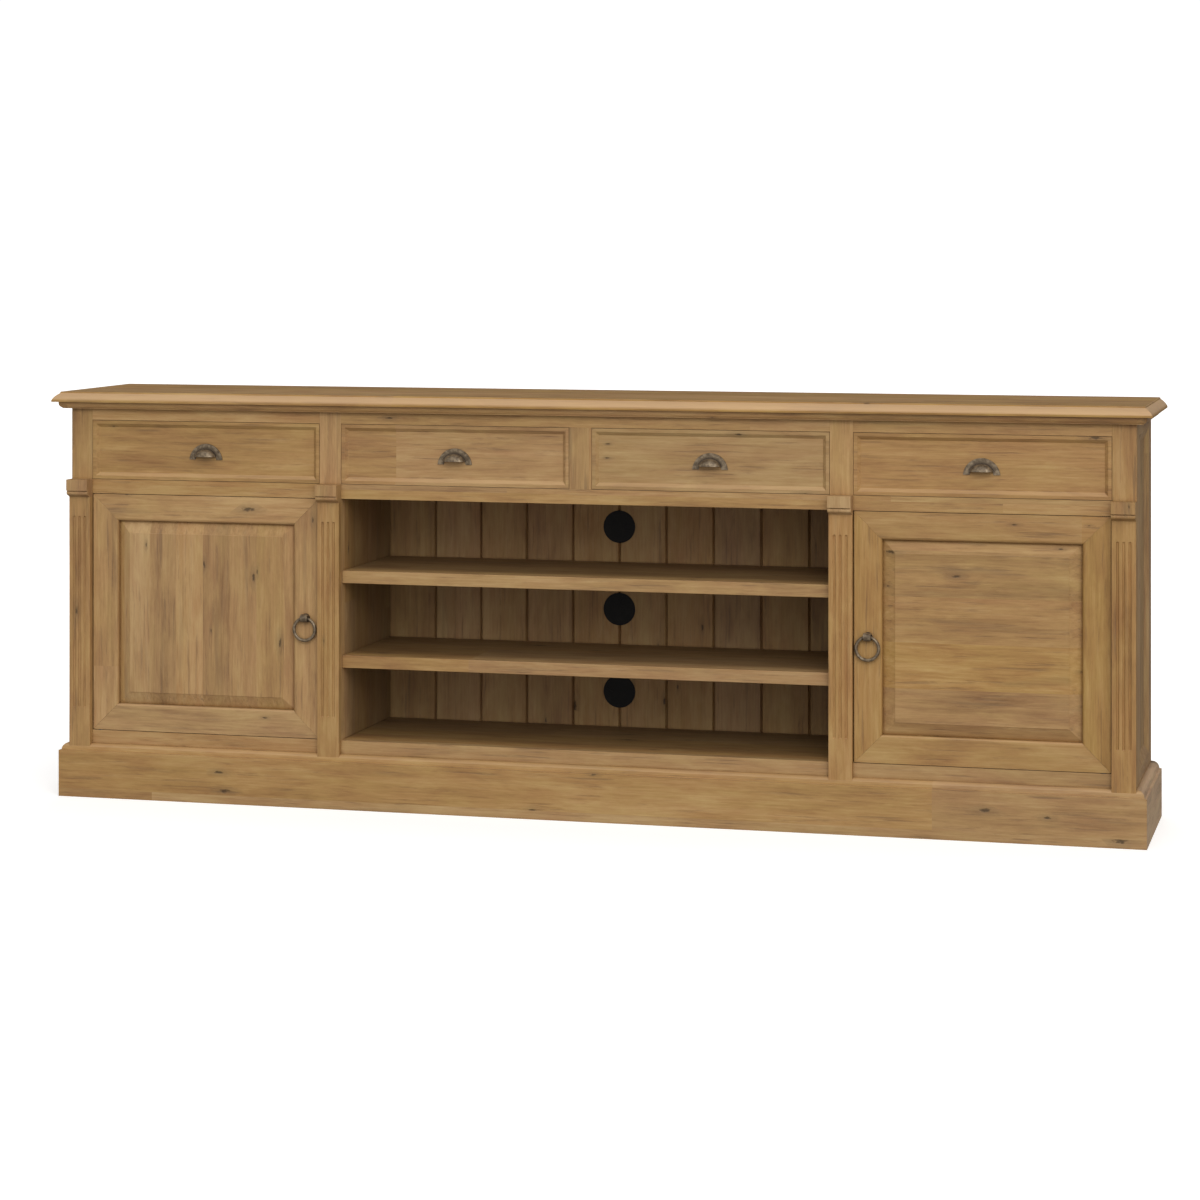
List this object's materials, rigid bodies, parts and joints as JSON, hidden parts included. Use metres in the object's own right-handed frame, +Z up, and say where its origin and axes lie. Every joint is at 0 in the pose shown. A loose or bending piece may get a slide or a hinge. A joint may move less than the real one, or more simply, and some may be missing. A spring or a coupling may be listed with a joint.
{
  "type": "media cabinet",
  "caption": "Low solid-wood media cabinet with panelled cupboards, a row of drawers and an open bay whose planked back has cable grommets.",
  "frame": {"origin": "on the floor, under the middle of the cabinet's box", "axes": "+X to the right seen from the front, the front faces -Y, +Z up"},
  "size_m": [2.15, 0.352, 0.8],
  "materials": {
    "cabinet_wood": "matte oiled, knotty honey brown",
    "inner_wood": "matte oiled",
    "drawer_wood": "sanded, unstained",
    "bronze": "antique bronze, worn on the high spots",
    "black_plastic": "moulded, fine texture",
    "steel": "blackened"
  },
  "bodies": {
    "carcass": {"top_panel": "cabinet_wood", "bed_moulding": "cabinet_wood", "plinth_front": "cabinet_wood", "plinth_left": "cabinet_wood", "plinth_right": "cabinet_wood", "plinth_back": "cabinet_wood", "top_rail": "cabinet_wood", "mid_rail": "cabinet_wood", "bottom_rail": "cabinet_wood", "centre_stile": "cabinet_wood", "capitals": "cabinet_wood", "side_frame_left": "cabinet_wood", "side_frame_right": "cabinet_wood", "side_panel_left": "cabinet_wood", "side_panel_right": "cabinet_wood", "stile_1": "cabinet_wood", "stile_2": "cabinet_wood", "stile_3": "cabinet_wood", "stile_4": "cabinet_wood", "pilaster_1": "cabinet_wood", "pilaster_2": "cabinet_wood", "pilaster_3": "cabinet_wood", "pilaster_4": "cabinet_wood", "partitions": "inner_wood", "floor_panel": "inner_wood", "drawer_deck": "inner_wood", "shelf_upper": "inner_wood", "shelf_lower": "inner_wood", "back_beadboard": "inner_wood", "cupboard_shelves": "inner_wood", "back_panels": "inner_wood", "drawer_runners": "inner_wood", "shelf_pins": "steel", "door_pivots": "steel", "door_catches": "steel", "grommet_sleeves": "black_plastic"},
    "drawer_1": {"drawer_1_front": "cabinet_wood", "drawer_1_box": "drawer_wood", "drawer_1_pull": "bronze"},
    "drawer_2": {"drawer_2_front": "cabinet_wood", "drawer_2_box": "drawer_wood", "drawer_2_pull": "bronze"},
    "drawer_3": {"drawer_3_front": "cabinet_wood", "drawer_3_box": "drawer_wood", "drawer_3_pull": "bronze"},
    "drawer_4": {"drawer_4_front": "cabinet_wood", "drawer_4_box": "drawer_wood", "drawer_4_pull": "bronze"},
    "door_left": {"door_left_frame": "cabinet_wood", "door_left_panel": "cabinet_wood", "door_left_ring_post": "bronze"},
    "ring_left": {"door_left_ring": "bronze"},
    "door_right": {"door_right_frame": "cabinet_wood", "door_right_panel": "cabinet_wood", "door_right_ring_post": "bronze"},
    "ring_right": {"door_right_ring": "bronze"},
    "grommet_cap_upper": {"grommet_cap_upper": "black_plastic"},
    "grommet_cap_middle": {"grommet_cap_middle": "black_plastic"},
    "grommet_cap_lower": {"grommet_cap_lower": "black_plastic"}
  },
  "joints": [
    {"name": "drawer_1_slide", "type": "slide", "parent": "carcass", "child": "drawer_1", "axis": [0, -1, 0], "range_m": [0, 0.2]},
    {"name": "drawer_2_slide", "type": "slide", "parent": "carcass", "child": "drawer_2", "axis": [0, -1, 0], "range_m": [0, 0.2]},
    {"name": "drawer_3_slide", "type": "slide", "parent": "carcass", "child": "drawer_3", "axis": [0, -1, 0], "range_m": [0, 0.2]},
    {"name": "drawer_4_slide", "type": "slide", "parent": "carcass", "child": "drawer_4", "axis": [0, -1, 0], "range_m": [0, 0.2]},
    {"name": "door_left_hinge", "type": "hinge", "parent": "carcass", "child": "door_left", "pos_m": [-0.984, -0.139, 0.365], "axis": [0, 0, -1], "range_deg": [0, 100]},
    {"name": "ring_left_swing", "type": "hinge", "parent": "door_left", "child": "ring_left", "pos_m": [-0.552, -0.1535, 0.366], "axis": [-1, 0, 0], "range_deg": [0, 150]},
    {"name": "door_right_hinge", "type": "hinge", "parent": "carcass", "child": "door_right", "pos_m": [0.984, -0.139, 0.365], "axis": [0, 0, 1], "range_deg": [0, 100]},
    {"name": "ring_right_swing", "type": "hinge", "parent": "door_right", "child": "ring_right", "pos_m": [0.552, -0.1535, 0.366], "axis": [-1, 0, 0], "range_deg": [0, 150]},
    {"name": "grommet_upper_turn", "type": "hinge", "parent": "carcass", "child": "grommet_cap_upper", "pos_m": [0, 0.155, 0.529], "axis": [0, -1, 0], "continuous": true},
    {"name": "grommet_middle_turn", "type": "hinge", "parent": "carcass", "child": "grommet_cap_middle", "pos_m": [0, 0.155, 0.365], "axis": [0, -1, 0], "continuous": true},
    {"name": "grommet_lower_turn", "type": "hinge", "parent": "carcass", "child": "grommet_cap_lower", "pos_m": [0, 0.155, 0.201], "axis": [0, -1, 0], "continuous": true}
  ]
}
